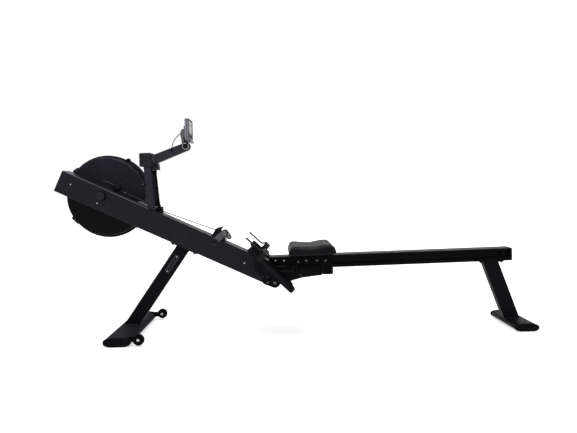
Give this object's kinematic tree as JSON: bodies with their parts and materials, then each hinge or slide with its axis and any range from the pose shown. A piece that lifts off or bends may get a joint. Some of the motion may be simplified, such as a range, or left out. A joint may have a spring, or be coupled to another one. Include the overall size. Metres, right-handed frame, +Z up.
{
  "type": "rowing machine",
  "caption": "Folding air-resistance rowing machine with a slanted beam, side-mounted fan, strap-pulled handle, monitor arm and a seat that slides on a rail",
  "frame": {"origin": "on the floor, under the middle of the machine's outline", "axes": "+X runs along the rail towards its rear end, +Y points to the side that the fan is on, +Z is up"},
  "size_m": [2.4346, 0.524, 1.0973],
  "materials": {
    "frame_black": "semi-gloss black powder coat",
    "frame_dark": "satin black powder coat",
    "black_plastic": "fine-textured moulded black plastic",
    "rubber_black": "matt black rubber",
    "bright_steel": "bright zinc-plated steel",
    "chrome": "polished chrome",
    "silver_plastic": "silver-painted plastic",
    "dark_aluminium": "black anodised aluminium, satin",
    "black_vinyl": "black moulded vinyl over foam",
    "white_plastic": "off-white nylon",
    "webbing": "woven black webbing",
    "screen": "grey-green display window"
  },
  "bodies": {
    "frame": {"main_beam": "frame_black", "beam_end_cap": "black_plastic", "pivot_bracket": "frame_dark", "pivot_pin": "bright_steel", "fan_cover_near": "black_plastic", "fan_cover_far": "black_plastic", "hub_cap": "black_plastic", "mast": "frame_dark", "mast_collar": "black_plastic", "mast_cable": "rubber_black", "strap_guide": "black_plastic", "pull_strap": "webbing", "handle_hook": "black_plastic", "front_leg": "frame_dark", "leg_plaque": "silver_plastic", "front_foot": "frame_dark", "front_cap_near": "rubber_black", "front_cap_far": "rubber_black", "wheel_arm_near": "frame_dark", "wheel_arm_far": "frame_dark", "footrest_shaft": "frame_dark", "footplate_near": "black_plastic", "footplate_far": "black_plastic", "toe_strap_near": "webbing", "toe_strap_far": "webbing"},
    "rail_arm": {"rail": "dark_aluminium", "rail_end_cap": "black_plastic", "rail_hinge": "frame_dark", "rear_leg": "frame_dark", "rear_foot": "frame_dark", "rear_cap_near": "rubber_black", "rear_cap_far": "rubber_black"},
    "seat": {"seat_pad": "black_vinyl", "seat_carriage": "frame_dark"},
    "roller_front_near": {"roller_front_near": "white_plastic"},
    "roller_front_far": {"roller_front_far": "white_plastic"},
    "roller_rear_near": {"roller_rear_near": "white_plastic"},
    "roller_rear_far": {"roller_rear_far": "white_plastic"},
    "handle": {"handle_bar": "frame_dark", "handle_grip_near": "rubber_black", "handle_grip_far": "rubber_black", "handle_clevis": "frame_dark"},
    "drum": {"strap_drum": "black_plastic"},
    "fan": {"fan_wheel": "silver_plastic", "fan_axle": "bright_steel"},
    "resistance": {"resistance_knob": "black_plastic"},
    "arm": {"monitor_arm": "black_plastic", "monitor_cable": "rubber_black"},
    "monitor": {"monitor_case": "silver_plastic", "monitor_screen": "screen", "monitor_bracket": "black_plastic", "tilt_knob": "chrome"},
    "button_a": {"button_a": "black_plastic"},
    "button_b": {"button_b": "black_plastic"},
    "button_c": {"button_c": "black_plastic"},
    "wheel_near": {"transport_wheel_near": "rubber_black"},
    "wheel_far": {"transport_wheel_far": "rubber_black"},
    "heel_near": {"heel_cup_near": "rubber_black"},
    "heel_far": {"heel_cup_far": "rubber_black"}
  },
  "joints": [
    {"name": "rail_fold", "type": "hinge", "parent": "frame", "child": "rail_arm", "pos_m": [-0.11066, 0, 0.257], "axis": [0, 1, 0], "range_deg": [0, 100]},
    {"name": "seat_slide", "type": "slide", "parent": "rail_arm", "child": "seat", "axis": [0.9998, 0, 0.0201], "range_m": [0, 0.88]},
    {"name": "roller_front_near_spin", "type": "hinge", "parent": "seat", "child": "roller_front_near", "pos_m": [0.01128, -0.034, 0.36047], "axis": [0, 1, 0], "continuous": true},
    {"name": "roller_front_far_spin", "type": "hinge", "parent": "seat", "child": "roller_front_far", "pos_m": [0.01128, 0.034, 0.36047], "axis": [0, 1, 0], "continuous": true},
    {"name": "roller_rear_near_spin", "type": "hinge", "parent": "seat", "child": "roller_rear_near", "pos_m": [0.15126, -0.034, 0.36328], "axis": [0, 1, 0], "continuous": true},
    {"name": "roller_rear_far_spin", "type": "hinge", "parent": "seat", "child": "roller_rear_far", "pos_m": [0.15126, 0.034, 0.36328], "axis": [0, 1, 0], "continuous": true},
    {"name": "handle_pull", "type": "slide", "parent": "frame", "child": "handle", "axis": [0.9659, 0, 0.2588], "range_m": [0, 1.1]},
    {"name": "drum_spin", "type": "hinge", "parent": "frame", "child": "drum", "pos_m": [-0.99095, 0, 0.7082], "axis": [0, 1, 0], "continuous": true},
    {"name": "fan_spin", "type": "hinge", "parent": "frame", "child": "fan", "pos_m": [-0.99095, 0.1, 0.7082], "axis": [0, 1, 0], "continuous": true},
    {"name": "resistance_slide", "type": "slide", "parent": "frame", "child": "resistance", "axis": [-0.9063, 0, 0.4226], "range_m": [0, 0.06]},
    {"name": "arm_fold", "type": "hinge", "parent": "frame", "child": "arm", "pos_m": [-0.70902, 0, 0.86604], "axis": [0, 1, 0], "range_deg": [0, 60]},
    {"name": "monitor_tilt", "type": "hinge", "parent": "arm", "child": "monitor", "pos_m": [-0.55461, 0, 0.95928], "axis": [0, 1, 0], "range_deg": [-30, 30], "deforming": ["monitor_cable"]},
    {"name": "button_a_press", "type": "slide", "parent": "monitor", "child": "button_a", "axis": [-1, 0, 0], "range_m": [0, 0.0012], "stiffness_N_per_m": 800, "springref_m": -0.0004},
    {"name": "button_b_press", "type": "slide", "parent": "monitor", "child": "button_b", "axis": [-1, 0, 0], "range_m": [0, 0.0012], "stiffness_N_per_m": 800, "springref_m": -0.0004},
    {"name": "button_c_press", "type": "slide", "parent": "monitor", "child": "button_c", "axis": [-1, 0, 0], "range_m": [0, 0.0012], "stiffness_N_per_m": 800, "springref_m": -0.0004},
    {"name": "wheel_near_spin", "type": "hinge", "parent": "frame", "child": "wheel_near", "pos_m": [-0.76001, -0.25, 0.032], "axis": [0, 1, 0], "continuous": true},
    {"name": "wheel_far_spin", "type": "hinge", "parent": "frame", "child": "wheel_far", "pos_m": [-0.76001, 0.25, 0.032], "axis": [0, 1, 0], "continuous": true},
    {"name": "heel_near_slide", "type": "slide", "parent": "frame", "child": "heel_near", "axis": [-0.7071, 0, 0.7071], "range_m": [0, 0.05]},
    {"name": "heel_far_slide", "type": "slide", "parent": "frame", "child": "heel_far", "axis": [-0.7071, 0, 0.7071], "range_m": [0, 0.05]}
  ],
  "couplings": [
    {"joint": "roller_front_near_spin", "follows": "seat_slide", "rad_per_m": 50.761},
    {"joint": "roller_front_far_spin", "follows": "seat_slide", "rad_per_m": 50.761},
    {"joint": "roller_rear_near_spin", "follows": "seat_slide", "rad_per_m": 50.761},
    {"joint": "roller_rear_far_spin", "follows": "seat_slide", "rad_per_m": 50.761},
    {"joint": "drum_spin", "follows": "handle_pull", "rad_per_m": 34.13}
  ]
}
